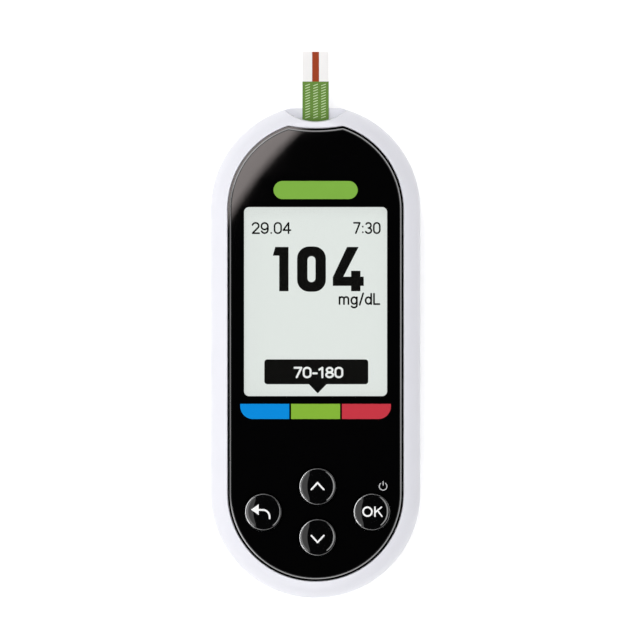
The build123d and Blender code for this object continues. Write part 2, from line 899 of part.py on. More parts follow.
def roof_springs():
    """Negative springs: a leg up to the board, a flat under the ceiling and a finger to the cell."""
    springs = []
    flat_z = ceiling_z - spring_stock / 2
    finger_z = cell_top_z + spring_slack + spring_stock / 2
    for cell_y in (upper_cell_y, lower_cell_y):
        leg_y = cell_y + cell_radius - spring_width
        points = [
            (leg_y, board_z),
            (leg_y, flat_z),
            (cell_y + spring_width / 2, flat_z),
            (cell_y - spring_width, finger_z),
            (cell_y - spring_width * 1.4, flat_z - spring_stock),
        ]
        springs.append(strip_of_metal(points, spring_stock, spring_stock, spring_width, Plane.YZ))
    return Compound(springs)


def side_springs():
    """Positive springs, which touch the rim of each cell."""
    springs = []
    leg_x = pocket_radius + pocket_wall / 2
    nose_x = cell_radius + spring_slack + spring_stock / 2
    points = [
        (leg_x, board_z),
        (leg_x, cell_top_z),
        (nose_x, cell_z + cell_height / 2),
        (leg_x - spring_stock, cell_z + spring_stock),
    ]
    for cell_y in (upper_cell_y, lower_cell_y):
        spring = strip_of_metal(points, spring_stock, spring_stock, spring_width, Plane.XZ)
        springs.append(Pos(0, cell_y, 0) * spring)
    return Compound(springs)


def ribbon_fold_y():
    """Where the ribbon comes up past the upper cell."""
    near_x = abs(ribbon_x) - ribbon_width / 2
    return upper_cell_y + sqrt(pocket_radius**2 - near_x**2)


def battery_ribbon():
    """Pull ribbon behind both cells, folded over the upper one."""
    low_z = cell_top_z + ribbon_stock
    top_z = (door_thickness + cell_z) / 2 + ribbon_stock / 4
    fold_y = ribbon_fold_y()
    points = [
        (lower_cell_y - cell_radius / 2, low_z),
        (fold_y, low_z),
        (fold_y, top_z),
        (upper_cell_y + ribbon_width / 2, top_z),
    ]
    ribbon = strip_of_metal(points, 2 * ribbon_stock, ribbon_stock, ribbon_width, Plane.YZ)
    return Pos(ribbon_x, 0, 0) * ribbon


# ---------------------------------------------------------------- all pieces


def pieces():
    made = {
        "rear_shell": rear_shell(),
        "front_shell": front_shell(),
        "battery_door": battery_door(),
        "case_screws": case_screws(),
        "face_panel": face_panel(),
        "panel_adhesive": panel_adhesive(),
        "display_window": display_window(),
        "range_low": range_bar(0),
        "range_mid": range_bar(1),
        "range_high": range_bar(2),
        "badge_pill": badge_pill(),
        "key_mat": key_mat(),
        "snap_domes": snap_domes(),
        "lcd_frame": lcd_frame(),
        "light_guide": light_guide(),
        "backlight_leds": backlight_leds(),
        "lcd_rear_glass": lcd_rear_glass(),
        "lcd_front_glass": lcd_front_glass(),
        "display_film": display_film(),
        "display_gasket": display_gasket(),
        "lcd_flex": lcd_flex(),
        "lcd_connector": lcd_connector(),
        "main_board": main_board(),
        "microcontroller": microcontroller(),
        "memory_chip": memory_chip(),
        "crystal": crystal(),
        "chip_parts": chip_parts(),
        "usb_shell": usb_shell(),
        "usb_tongue": usb_tongue(),
        "strip_connector": strip_connector(),
        "strip_springs": strip_springs(),
        "strip_base": strip_base(),
        "strip_film": strip_film(),
        "strip_channel": strip_channel(),
        "strip_grip": strip_grip(),
        "strip_pads": strip_pads(),
        "upper_cell": coin_cell(upper_cell_y),
        "lower_cell": coin_cell(lower_cell_y),
        "roof_springs": roof_springs(),
        "side_springs": side_springs(),
        "battery_ribbon": battery_ribbon(),
    }
    for name, place in key_places.items():
        made["key_" + name] = key_cap(*place)
        made["key_" + name + "_boss"] = key_boss(*place)
    return made


os.makedirs("parts", exist_ok=True)
for name, shape in pieces().items():
    export_step(shape, "parts/" + name + ".step")
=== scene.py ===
import math

import bmesh
import bpy
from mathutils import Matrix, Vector
from mathutils.geometry import delaunay_2d_cdt


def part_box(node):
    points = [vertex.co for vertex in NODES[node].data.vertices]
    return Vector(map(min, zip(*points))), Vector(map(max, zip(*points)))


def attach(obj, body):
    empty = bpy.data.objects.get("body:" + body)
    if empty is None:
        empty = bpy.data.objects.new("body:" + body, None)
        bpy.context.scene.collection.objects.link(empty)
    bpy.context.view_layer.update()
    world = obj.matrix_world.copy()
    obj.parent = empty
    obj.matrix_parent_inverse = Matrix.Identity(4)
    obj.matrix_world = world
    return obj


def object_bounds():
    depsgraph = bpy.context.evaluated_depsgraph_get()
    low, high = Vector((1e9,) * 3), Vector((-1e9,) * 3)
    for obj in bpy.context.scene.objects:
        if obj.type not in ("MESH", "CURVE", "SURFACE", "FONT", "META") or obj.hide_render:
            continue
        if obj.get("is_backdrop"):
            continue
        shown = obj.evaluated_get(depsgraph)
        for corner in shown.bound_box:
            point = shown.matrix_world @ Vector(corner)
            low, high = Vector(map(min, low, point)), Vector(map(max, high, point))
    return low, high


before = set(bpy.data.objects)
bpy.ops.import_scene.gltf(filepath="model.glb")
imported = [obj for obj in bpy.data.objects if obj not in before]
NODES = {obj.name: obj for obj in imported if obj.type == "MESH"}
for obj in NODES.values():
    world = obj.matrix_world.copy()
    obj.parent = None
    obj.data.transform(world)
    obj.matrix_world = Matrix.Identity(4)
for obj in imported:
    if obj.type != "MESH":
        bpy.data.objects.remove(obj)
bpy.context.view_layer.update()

MM = 0.001
SCENE = bpy.context.scene

# ---------------------------------------------------------------- materials


NOISE_GRIT = 0.55            # how fast the finer blobs of a noise fade in
NOISE_LOW, NOISE_HIGH = 0.3, 0.7     # the range that a noise really fills
ROUGH_PATCH = 1.7            # patches of roughness against those of colour
LEAST_ROUGH = 0.01
COAT_ROUGH = 0.05
BEVEL_SAMPLES = 6


def colour(red, green, blue):
    """A screen colour, 0 to 255 a channel, as the linear colour that shaders take."""

    def linear(value):
        value = value / 255
        return value / 12.92 if value <= 0.04045 else ((value + 0.055) / 1.055) ** 2.4

    return (linear(red), linear(green), linear(blue), 1.0)


def scaled(tint, share):
    """The tint, darker or lighter."""
    return (tint[0] * share, tint[1] * share, tint[2] * share, 1.0)


def add_node(tree, kind, inputs=None, **settings):
    """A node with these settings, and then these values on its sockets."""
    made = tree.nodes.new(kind)
    for name, value in settings.items():
        setattr(made, name, value)
    for name, value in (inputs or {}).items():
        made.inputs[name].default_value = value
    return made


def new_tree(name):
    material = bpy.data.materials.new(name)
    material.use_nodes = True
    material.node_tree.nodes.clear()
    return material, material.node_tree


def noise(tree, place, size_mm, detail=2.0):
    """A noise whose blobs are about size_mm across, read at the place socket."""
    values = {"Scale": 1 / (size_mm * MM), "Detail": detail, "Roughness": NOISE_GRIT}
    made = add_node(tree, "ShaderNodeTexNoise", values)
    tree.links.new(place, made.inputs["Vector"])
    return made.outputs["Fac"]


def mapped(tree, fac, low, high):
    """A noise spread over the values from low to high."""
    values = {"From Min": NOISE_LOW, "From Max": NOISE_HIGH, "To Min": low, "To Max": high}
    made = add_node(tree, "ShaderNodeMapRange", values)
    tree.links.new(fac, made.inputs["Value"])
    return made.outputs["Result"]


def mixed(tree, fac, first, second):
    """A mix of two colours."""
    made = add_node(tree, "ShaderNodeMix", {"A": first, "B": second}, data_type="RGBA")
    tree.links.new(fac, made.inputs["Factor"])
    return made.outputs["Result"]


def bumped(tree, height, depth_mm, edge_mm):
    """A fine bump over the surface's own normal, whose sharp edges are softened by edge_mm."""
    made = add_node(tree, "ShaderNodeBump", {"Distance": depth_mm * MM})
    tree.links.new(height, made.inputs["Height"])
    if edge_mm:
        eased = add_node(tree, "ShaderNodeBevel", {"Radius": edge_mm * MM}, samples=BEVEL_SAMPLES)
        tree.links.new(eased.outputs["Normal"], made.inputs["Normal"])
    return made.outputs["Normal"]


def coated(
    tree,
    tint,
    roughness,
    *,
    metallic=0.0,
    coat=0.0,
    ior=1.5,
    subsurface=0.0,
    glow=0.0,
    mottle=0.03,
    mottle_mm=3.0,
    swing=0.04,
    grain_mm=0.25,
    grain_depth_mm=0.002,
    edge_mm=0.0,
):
    """A shader whose colour drifts a little, whose roughness swings, and whose grain is a fine bump."""
    place = add_node(tree, "ShaderNodeTexCoord").outputs["Object"]
    shader = add_node(
        tree,
        "ShaderNodeBsdfPrincipled",
        {
            "Metallic": metallic,
            "IOR": ior,
            "Coat Weight": coat,
            "Coat Roughness": COAT_ROUGH,
            "Subsurface Weight": subsurface,
            "Subsurface Scale": 0.5 * MM,
            "Emission Color": tint,
            "Emission Strength": glow,
        },
    )
    drift = noise(tree, place, mottle_mm)
    base = mixed(tree, drift, scaled(tint, 1 - mottle), scaled(tint, 1 + mottle))
    tree.links.new(base, shader.inputs["Base Color"])
    patches = noise(tree, place, ROUGH_PATCH * mottle_mm, 4.0)
    rough = mapped(tree, patches, max(roughness - swing, LEAST_ROUGH), roughness + swing)
    tree.links.new(rough, shader.inputs["Roughness"])
    grain = bumped(tree, noise(tree, place, grain_mm, 3.0), grain_depth_mm, edge_mm)
    tree.links.new(grain, shader.inputs["Normal"])
    return shader.outputs["BSDF"]


def shown(tree, shader):
    """The shader is what the material shows."""
    tree.links.new(shader, add_node(tree, "ShaderNodeOutputMaterial").inputs["Surface"])


def finish(name, tint, roughness, **rest):
    """A moulded, printed or plated surface."""
    material, tree = new_tree(name)
    shown(tree, coated(tree, tint, roughness, **rest))
    return material


def near(tree, vector, value, spread):
    """1 where the vector's Z is within spread of the value, 0 elsewhere."""
    parts = add_node(tree, "ShaderNodeSeparateXYZ")
    tree.links.new(vector, parts.inputs["Vector"])
    made = add_node(tree, "ShaderNodeMath", operation="COMPARE")
    tree.links.new(parts.outputs["Z"], made.inputs[0])
    made.inputs[1].default_value = value
    made.inputs[2].default_value = spread
    return made.outputs["Value"]


def gloss_with_painted_highlight_edge(name, upright, spread, low_mm, high_mm, highlight_tint, rough):
    """Black gloss whose edge carries a painted highlight.
    It is silvery metal between two heights, where the Z of the face's normal is near upright: the silver stands
    in for the bevel's highlight and also mirrors the cards."""
    material, tree = new_tree(name)
    black = coated(
        tree, BLACK_GLOSS, GLOSS_ROUGH, swing=GLOSS_SWING, mottle=0.2, grain_mm=6.0, grain_depth_mm=0.0003
    )
    highlight = coated(tree, highlight_tint, rough, metallic=1.0, mottle=0.05, grain_depth_mm=0.0005)
    place = add_node(tree, "ShaderNodeTexCoord").outputs["Object"]
    slanting = near(tree, add_node(tree, "ShaderNodeNewGeometry").outputs["True Normal"], upright, spread)
    height = near(tree, place, (low_mm + high_mm) / 2 * MM, (high_mm - low_mm) / 2 * MM)
    both = add_node(tree, "ShaderNodeMath", operation="MULTIPLY")
    tree.links.new(slanting, both.inputs[0])
    tree.links.new(height, both.inputs[1])
    mix = add_node(tree, "ShaderNodeMixShader")
    tree.links.new(both.outputs["Value"], mix.inputs["Fac"])
    tree.links.new(black, mix.inputs[1])
    tree.links.new(highlight, mix.inputs[2])
    shown(tree, mix.outputs["Shader"])
    return material


def clear_finish(name):
    """Clear moulded acrylic that lets the light of lamps through to what lies under it."""
    material, tree = new_tree(name)
    place = add_node(tree, "ShaderNodeTexCoord").outputs["Object"]
    glass = add_node(
        tree,
        "ShaderNodeBsdfPrincipled",
        {"Base Color": (1, 1, 1, 1), "IOR": CLEAR_IOR, "Transmission Weight": 1.0},
    )
    tree.links.new(mapped(tree, noise(tree, place, 4.0), 0.0, 0.02), glass.inputs["Roughness"])
    through = add_node(tree, "ShaderNodeBsdfTransparent", {"Color": CLEAR_TINT})
    path = add_node(tree, "ShaderNodeLightPath")
    lighting = add_node(tree, "ShaderNodeMath", operation="MAXIMUM")
    tree.links.new(path.outputs["Is Shadow Ray"], lighting.inputs[0])
    tree.links.new(path.outputs["Is Diffuse Ray"], lighting.inputs[1])
    mix = add_node(tree, "ShaderNodeMixShader")
    tree.links.new(lighting.outputs["Value"], mix.inputs["Fac"])
    tree.links.new(glass.outputs["BSDF"], mix.inputs[1])
    tree.links.new(through.outputs["BSDF"], mix.inputs[2])
    shown(tree, mix.outputs["Shader"])
    return material


WHITE = colour(233, 233, 240)
BLACK_GLOSS = (0.0008, 0.0008, 0.0009, 1.0)
GLOSS_ROUGH, GLOSS_SWING = 0.014, 0.004
CLEAR_IOR = 1.3
CLEAR_TINT = (0.97, 0.97, 0.97, 1)
# The painted highlights on the edges of the panel and the keys: their colour, the Z of their normals, and their
# heights in mm
PANEL_EDGE_HIGHLIGHT = (0.36, 0.36, 0.365, 1.0)
PANEL_EDGE_UPRIGHT = 0.777
PANEL_EDGE_HEIGHTS = (14.49, 14.67)
KEY_EDGE_HIGHLIGHT = (0.5, 0.5, 0.505, 1.0)
KEY_EDGE_UPRIGHT = 0.6
KEY_EDGE_HEIGHTS = (15.1, 15.3)

MATERIALS = {
    "front_white": finish(
        "front_white", WHITE, 0.32, swing=0.03, grain_depth_mm=0.0008, mottle=0.012, mottle_mm=9.0, edge_mm=0.15
    ),
    "rear_white": finish(
        "rear_white", WHITE, 0.42, grain_mm=0.35, grain_depth_mm=0.004, mottle=0.015, mottle_mm=9.0, edge_mm=0.15
    ),
    # Painted highlights: the silvery bands on the edges of the black panel and keys
    "panel_black": gloss_with_painted_highlight_edge(
        "panel_black", PANEL_EDGE_UPRIGHT, 0.03, *PANEL_EDGE_HEIGHTS, PANEL_EDGE_HIGHLIGHT, 0.3
    ),
    "key_black": gloss_with_painted_highlight_edge(
        "key_black", KEY_EDGE_UPRIGHT, 0.36, *KEY_EDGE_HEIGHTS, KEY_EDGE_HIGHLIGHT, 0.32
    ),
    "clear_window": clear_finish("clear_window"),
    # The display glows as though it were a lamp: painted light that evens out the shade of the recess it sits
    # in, over a darkened grey
    "display_grey": finish(
        "display_grey", colour(103, 106, 104), 0.6, ior=1.1, glow=4.7, mottle=0.01, mottle_mm=14.0, grain_mm=0.12
    ),
    "display_ink": finish("display_ink", colour(16, 16, 15), 0.6, ior=1.1, mottle=0.1),
    "display_light": finish("display_light", colour(236, 239, 237), 0.5, ior=1.1, mottle=0.02),
    "legend_white": finish("legend_white", colour(240, 240, 240), 0.4, mottle=0.02),
    "power_grey": finish("power_grey", colour(190, 190, 192), 0.4, mottle=0.02),
    "blue": finish("blue", colour(2, 133, 212), 0.35, ior=1.12, mottle=0.03),
    "green": finish("green", colour(128, 174, 54), 0.35, ior=1.12, mottle=0.03),
    "red": finish("red", colour(191, 52, 65), 0.35, ior=1.12, mottle=0.03),
    "badge_green": finish("badge_green", colour(122, 171, 66), 0.35, ior=1.12, mottle=0.03),
    "steel": finish("steel", colour(190, 188, 184), 0.28, metallic=1.0, grain_mm=0.1, grain_depth_mm=0.001),
    "adhesive": finish("adhesive", colour(40, 40, 42), 0.6),
    "silicone": finish("silicone", colour(150, 152, 156), 0.55, subsurface=0.1),
    "frame_white": finish("frame_white", colour(228, 228, 226), 0.4),
    "acrylic": finish("acrylic", colour(224, 232, 236), 0.1),
    "led_white": finish("led_white", colour(244, 238, 196), 0.3),
    "lcd_glass": finish("lcd_glass", colour(158, 170, 166), 0.06),
    "foam_black": finish("foam_black", colour(24, 24, 25), 0.85, grain_mm=0.2, grain_depth_mm=0.03),
    "flex_amber": finish("flex_amber", colour(170, 100, 30), 0.3, coat=0.5),
    "black_plastic": finish("black_plastic", colour(26, 26, 28), 0.45),
    "board_green": finish("board_green", colour(22, 84, 48), 0.35, coat=0.4, mottle=0.12, mottle_mm=1.2),
    "chip_black": finish("chip_black", colour(30, 30, 32), 0.6, grain_depth_mm=0.006),
    "chip_ceramic": finish("chip_ceramic", colour(176, 140, 100), 0.5),
    "gold_contact": finish("gold_contact", colour(226, 178, 92), 0.25, metallic=1.0),
    "strip_white": finish("strip_white", colour(241, 239, 238), 0.4),
    "strip_red": finish("strip_red", colour(156, 64, 36), 0.4, ior=1.15),
    "strip_green": finish("strip_green", colour(102, 138, 62), 0.4, ior=1.2),
    "strip_pale": finish("strip_pale", colour(200, 222, 172), 0.4),
    "cell_steel": finish("cell_steel", colour(198, 198, 196), 0.24, metallic=1.0, grain_mm=0.3),
    "etched": finish("etched", colour(92, 92, 90), 0.55),
    "ribbon_black": finish("ribbon_black", colour(28, 28, 30), 0.7, grain_mm=0.15, grain_depth_mm=0.01),
}

NODE_FINISH = {
    "rear_shell": "rear_white",
    "front_shell": "front_white",
    "battery_door": "rear_white",
    "case_screws": "steel",
    "face_panel": "panel_black",
    "panel_adhesive": "adhesive",
    "display_window": "clear_window",
    "range_low": "blue",
    "range_mid": "green",
    "range_high": "red",
    "badge_pill": "badge_green",
    "key_back": "key_black",
    "key_up": "key_black",
    "key_down": "key_black",
    "key_ok": "key_black",
    "key_back_boss": "silicone",
    "key_up_boss": "silicone",
    "key_down_boss": "silicone",
    "key_ok_boss": "silicone",
    "key_mat": "silicone",
    "snap_domes": "steel",
    "lcd_frame": "frame_white",
    "light_guide": "acrylic",
    "backlight_leds": "led_white",
    "lcd_rear_glass": "lcd_glass",
    "lcd_front_glass": "lcd_glass",
    "display_film": "display_grey",
    "display_gasket": "foam_black",
    "lcd_flex": "flex_amber",
    "lcd_connector": "black_plastic",
    "main_board": "board_green",
    "microcontroller": "chip_black",
    "memory_chip": "chip_black",
    "crystal": "steel",
    "chip_parts": "chip_ceramic",
    "usb_shell": "steel",
    "usb_tongue": "black_plastic",
    "strip_connector": "black_plastic",
    "strip_springs": "gold_contact",
    "strip_base": "strip_white",
    "strip_film": "strip_white",
    "strip_channel": "strip_red",
    "strip_grip": "strip_green",
    "strip_pads": "gold_contact",
    "upper_cell": "cell_steel",
    "lower_cell": "cell_steel",
    "roof_springs": "gold_contact",
    "side_springs": "gold_contact",
    "battery_ribbon": "ribbon_black",
}

for node, look in NODE_FINISH.items():
    for slot in NODES[node].material_slots:
        slot.material = MATERIALS[look]

# ---------------------------------------------------------------- flat graphics


PRINT_PROUD = 0.02           # a print over its surface, in mm


def level(z):
    """The height of a flat surface."""
    return lambda x, y: z


def turned_right(shape):
    """True if the outline runs clockwise."""
    return sum(ax * by - bx * ay for (ax, ay), (bx, by) in zip(shape, shape[1:] + shape[:1])) < 0


def numbered(items, place_of):
    """Put corners or faces in the order of their places, which is the same in each run."""
    for i, item in enumerate(sorted(items, key=place_of)):
        item.index = i
    items.sort()


def printed(name, shapes, height_at, look, body, proud=PRINT_PROUD, sunk=0.0, grid=0.0):
    """A thin closed plate on a surface: the union of these outlines, in mm in the shared frame.
    height_at(x, y) is the surface's height, and the plate stands proud of it and is sunk in it by so much.
    On a domed surface the plate also has corners on a grid, so that it follows the dome."""
    corners, outlines = [], []
    for shape in shapes:
        if turned_right(shape):
            shape = shape[::-1]
        outlines.append(list(range(len(corners), len(corners) + len(shape))))
        corners += [Vector(corner) for corner in shape]
    if grid:
        xs, ys = [c.x for c in corners], [c.y for c in corners]
        across, up = int((max(xs) - min(xs)) / grid), int((max(ys) - min(ys)) / grid)
        # The odd shares of a step keep these corners off the outlines
        corners += [
            Vector((min(xs) + (i + 0.53) * grid, min(ys) + (j + 0.51) * grid))
            for i in range(across)
            for j in range(up)
        ]
    spots, _, faces, _, _, covered = delaunay_2d_cdt(corners, [], outlines, 0, 1e-4)
    made = bmesh.new()
    flat = [made.verts.new((spot.x, spot.y, 0)) for spot in spots]
    for face, by in zip(faces, covered):
        if by:
            made.faces.new([flat[i] for i in face])
    bmesh.ops.delete(made, geom=[v for v in made.verts if not v.link_faces], context="VERTS")
    bmesh.ops.recalc_face_normals(made, faces=made.faces[:])
    grown = bmesh.ops.extrude_face_region(made, geom=made.faces[:])
    upper = {v for v in grown["geom"] if isinstance(v, bmesh.types.BMVert)}
    for v in made.verts:
        v.co.z = height_at(v.co.x, v.co.y) + (proud if v in upper else -sunk)
    bmesh.ops.recalc_face_normals(made, faces=made.faces[:])
    bmesh.ops.scale(made, vec=(MM, MM, MM), verts=made.verts[:])
    numbered(made.verts, lambda v: tuple(v.co))
    numbered(made.faces, lambda f: tuple(f.calc_center_median()))
    mesh = bpy.data.meshes.new(name)
    made.to_mesh(mesh)
    made.free()
    mesh.materials.append(MATERIALS[look])
    piece = bpy.data.objects.new(name, mesh)
    SCENE.collection.objects.link(piece)
    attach(piece, body)


def arc(cx, cy, radius, start, end, steps=8, tall=1.0):
    """Points on an arc, in degrees anticlockwise from +X, both ends included.
    tall stretches it up and down."""
    turns = [math.radians(start + (end - start) * i / steps) for i in range(steps + 1)]
    return [(cx + radius * math.cos(t), cy + radius * tall * math.sin(t)) for t in turns]


def rounded(x0, y0, x1, y1, radius, steps=6):
    """A box with round corners."""
    return (
        arc(x1 - radius, y0 + radius, radius, -90, 0, steps)
        + arc(x1 - radius, y1 - radius, radius, 0, 90, steps)
        + arc(x0 + radius, y1 - radius, radius, 90, 180, steps)
        + arc(x0 + radius, y0 + radius, radius, 180, 270, steps)
    )


def stroke(line, width, closed=False, round_ends=True):
    """Outlines whose union is a line of this width: a bar for each run and a disc for each joint."""
    runs = list(zip(line, line[1:] + line[:1])) if closed else list(zip(line, line[1:]))
    shapes = []
    for (ax, ay), (bx, by) in runs:
        long = math.hypot(bx - ax, by - ay)
        sx, sy = (by - ay) / long * width / 2, (ax - bx) / long * width / 2
        shapes.append([(ax + sx, ay + sy), (bx + sx, by + sy), (bx - sx, by - sy), (ax - sx, ay - sy)])
    joints = line if closed or round_ends else line[1:-1]
    for x, y in joints:
        shapes.append(arc(x, y, width / 2, 0, 330, 11))
    return shapes


def moved(shapes, x, y):
    return [[(x + px, y + py) for px, py in shape] for shape in shapes]


FILM_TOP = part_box("display_film")[1].z / MM
FILM = level(FILM_TOP)

# The big number, drawn in mm in the shared frame
DIGIT_FOOT = 12.32
DIGIT_HEAD = 21.38
DIGIT_OVER = 0.1


def digit_one():
    """A stem and the flag at its head."""
    stem = [(-7.44, DIGIT_FOOT), (-5.54, DIGIT_FOOT), (-5.54, DIGIT_HEAD), (-7.44, DIGIT_HEAD)]
    flag = [(-8.75, 19.6), (-7.3, 19.6), (-7.3, DIGIT_HEAD), (-8.25, DIGIT_HEAD)]
    return [stem, flag]


def right_side(right, foot, head, radius):
    """Up the right side of a box with round corners."""
    return arc(right - radius, foot + radius, radius, -90, 0) + arc(right - radius, head - radius, radius, 0, 90)


def digit_nought():
    """A tall ring, as its right and left halves."""
    foot, head = DIGIT_FOOT - DIGIT_OVER, DIGIT_HEAD + DIGIT_OVER
    left, right, radius = -3.78, 2.1, 2.45
    hole_right, hole_foot, hole_head, hole_radius = -0.02, 14.18, 19.5, 0.82
    middle = (left + right) / 2
    outer = right_side(right, foot, head, radius)
    inner = right_side(hole_right, hole_foot, hole_head, hole_radius)[::-1]
    half = [(middle, foot), *outer, (middle, head), (middle, hole_head), *inner, (middle, hole_foot)]
    other = [(2 * middle - x, y) for x, y in half]
    return [half, other]


def digit_four():
    """A diagonal, a bar and a stem."""
    diagonal = [(3.52, 15.2), (5.62, 15.2), (8.8, DIGIT_HEAD), (6.43, DIGIT_HEAD)]
    bar = [(3.52, 13.42), (9.85, 13.42), (9.85, 15.3), (3.52, 15.3)]
    stem = [(7.26, DIGIT_FOOT), (9.18, DIGIT_FOOT), (9.18, 16.5), (7.26, 16.5)]
    return [diagonal, bar, stem]


def callout():
    """The box over the range bars and its pointer."""
    foot, head = -6.7, -1.62
    box = rounded(-10.48, foot, 10.77, head, 0.62)
    pointer = [(-1.45, foot + 0.1), (0.43, -8.58), (2.35, foot + 0.1)]
    return [box, pointer]


for drawn in (digit_one, digit_nought, digit_four, callout):
    printed(drawn.__name__, drawn(), FILM, "display_ink", "meter")

# Small figures, drawn as lines in a cell that is 1 tall: the cell's width, the lines, and if they are closed
FIGURES = {
    "0": (0.62, [arc(0.31, 0.69, 0.26, 0, 180, 8, 1.05) + arc(0.31, 0.31, 0.26, 180, 360, 8, 1.05)], True),
    "1": (0.42, [[(0.03, 0.78), (0.26, 0.96), (0.26, 0.04)]], False),
    "2": (0.62, [arc(0.3, 0.7, 0.25, 165, -38, 9, 1.05) + [(0.06, 0.04), (0.58, 0.04)]], False),
    "3": (0.62, [arc(0.28, 0.735, 0.23, 150, -90, 9, 1.0), arc(0.28, 0.27, 0.26, 90, -155, 9, 0.9)], False),
    "4": (0.64, [[(0.45, 0.04), (0.45, 0.96), (0.04, 0.31), (0.6, 0.31)]], False),
    "7": (0.6, [[(0.04, 0.96), (0.55, 0.96), (0.2, 0.04)]], False),
    "9": (
        0.62,
        [arc(0.31, 0.66, 0.26, 0, 360, 12, 1.15), [*arc(0.31, 0.34, 0.26, -155, 0, 7, 1.15), (0.57, 0.66)]],
        False,
    ),
    "8": (0.62, [arc(0.31, 0.74, 0.22, 0, 360, 12, 1.0), arc(0.31, 0.27, 0.26, 0, 360, 12, 0.9)], False),
    ":": (0.26, [[(0.13, 0.12), (0.13, 0.13)], [(0.13, 0.62), (0.13, 0.63)]], False),
    ".": (0.26, [[(0.13, 0.06), (0.13, 0.07)]], False),
    "-": (0.42, [[(0.06, 0.42), (0.34, 0.42)]], False),
    "/": (0.42, [[(0.06, -0.02), (0.36, 1.02)]], False),
    "m": (
        0.92,
        [
            [(0.06, 0.04), (0.06, 0.68)],
            [*arc(0.25, 0.5, 0.19, 180, 0, 6), (0.44, 0.04)],
            [*arc(0.63, 0.5, 0.19, 180, 0, 6), (0.82, 0.04)],
        ],
        False,
    ),
    "g": (
        0.64,
        [arc(0.3, 0.36, 0.24, 0, 360, 12, 1.3), [(0.54, 0.66), *arc(0.3, -0.06, 0.24, 0, -150, 6, 0.9)]],
        False,
    ),
    "d": (0.64, [arc(0.3, 0.36, 0.24, 0, 360, 12, 1.3), [(0.54, 0.98), (0.54, 0.04)]], False),
    "L": (0.56, [[(0.06, 0.98), (0.06, 0.04), (0.52, 0.04)]], False),
}


def figures(words, left, foot, tall, wide, line, gap=0.08):
    """The outlines of a row of small figures.
    In mm: its left edge, its foot line, its height, the width of a cell 1 wide, and the line's width."""
    shapes = []
    at = 0.0
    for figure in words:
        cell, lines, closed = FIGURES[figure]
        for path in lines:
            points = [(left + wide * (at + x), foot + tall * y) for x, y in path]
            shapes += stroke(points, line, closed)
        at += cell + gap
    return shapes


SMALL_ROWS = {
    "date_figures": ("29.04", -13.05, 24.1, 2.3, 2.6, 0.34),
    "time_figures": ("7:30", 7.75, 24.1, 2.3, 2.35, 0.34),
    "unit_mark": ("mg/dL", 4.75, 9.6, 2.25, 2.4, 0.36),
}
for name, row in SMALL_ROWS.items():
    printed(name, figures(*row), FILM, "display_ink", "meter")
BOX_TOP = level(FILM_TOP + PRINT_PROUD)
printed("range_figures", figures("70-180", -4.4, -5.35, 2.1, 2.7, 0.42), BOX_TOP, "display_light", "meter")

# ---------------------------------------------------------------- key legends

CROWN_RADIUS = 17.675        # of the keys' domes
LEGEND_GRID = 0.35           # between the corners that follow the dome


def crown(node):
    """A key's middle and the height of its domed top, in mm."""
    low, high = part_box(node)
    cx, cy = (low.x + high.x) / 2 / MM, (low.y + high.y) / 2 / MM
    top = high.z / MM

    def height_at(x, y):
        return top - CROWN_RADIUS + math.sqrt(CROWN_RADIUS**2 - (x - cx) ** 2 - (y - cy) ** 2)

    return cx, cy, height_at


def legend(name, node, body, shapes):
    """White print on a key, its outlines in mm from the key's middle."""
    cx, cy, height_at = crown(node)
    outlines = moved(shapes, cx, cy)
    printed(name, outlines, height_at, "legend_white", body, proud=0.015, sunk=0.012, grid=LEGEND_GRID)


def chevron(way, lift):
    """An arrow head that points up (way 1) or down (way -1)."""
    half, rise = 1.27, 0.69
    line = [(-half, -way * rise), (-half / 2, 0), (0, way * rise), (half / 2, 0), (half, -way * rise)]
    return moved(stroke(line, 0.34), 0, lift)


def back_arrow():
    """A head to the left and a tail that bends down."""
    head = [(-2.52, 0.49), (-0.92, 1.6), (-0.92, -0.62)]
    tail = arc(-0.1, -0.96, 1.4, 90, 0, 8)
    return [head] + stroke([(-1.0, 0.44), *tail, (1.3, -1.43)], 0.37, round_ends=False)


legend("up_mark", "key_up", "up_key", chevron(1, 0.1))
legend("down_mark", "key_down", "down_key", chevron(-1, -0.3))
legend("back_mark", "key_back", "back_key", back_arrow())
K_STEM, K_HEAD, K_FOOT = 0.62, 1.0, -0.85
k_mark = (
    stroke([(K_STEM, K_FOOT), (K_STEM, K_HEAD)], 0.33)
    + stroke([(K_STEM, -0.1), (1.95, K_HEAD)], 0.3)
    + stroke([(1.15, 0.3), (2.05, K_FOOT)], 0.3)
)
legend("ok_mark", "key_ok", "ok_key", stroke(arc(-0.9, 0.08, 0.9, 0, 345, 23), 0.34, closed=True) + k_mark)

# The power sign on the panel, over the right key
PANEL_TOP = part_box("face_panel")[1].z / MM
POWER_X, POWER_Y = 13.8, -27.55
POWER_LINE = 0.19
power = stroke(arc(POWER_X, POWER_Y, 0.78, 130, 410, 20), POWER_LINE)
power += stroke([(POWER_X, POWER_Y + 0.2), (POWER_X, POWER_Y + 1.0)], POWER_LINE)
printed("power_mark", power, level(PANEL_TOP), "power_grey", "meter", proud=0.012, sunk=0.005)

# ---------------------------------------------------------------- the print on the strip

TICK_COLUMNS = (-1.62, 0.0, 1.62)
TICK_HALF, TICK_RISE, TICK_LINE, TICK_PITCH = 0.42, 0.16, 0.15, 0.55
TICKS_END = 47.5             # just inside the port
GRIP_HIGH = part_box("strip_grip")[1]
GRIP_TOP = level(GRIP_HIGH.z / MM)
tick_y = GRIP_HIGH.y / MM - 0.7
ticks = []
while tick_y > TICKS_END:
    for column in TICK_COLUMNS:
        ends = [(column - TICK_HALF, tick_y - TICK_RISE), (column + TICK_HALF, tick_y + TICK_RISE)]
        ticks += stroke(ends, TICK_LINE)
    tick_y -= TICK_PITCH
printed("strip_ticks", ticks, GRIP_TOP, "strip_pale", "test_strip", proud=0.006, sunk=0.0)

# ---------------------------------------------------------------- the plus sign etched on each coin cell

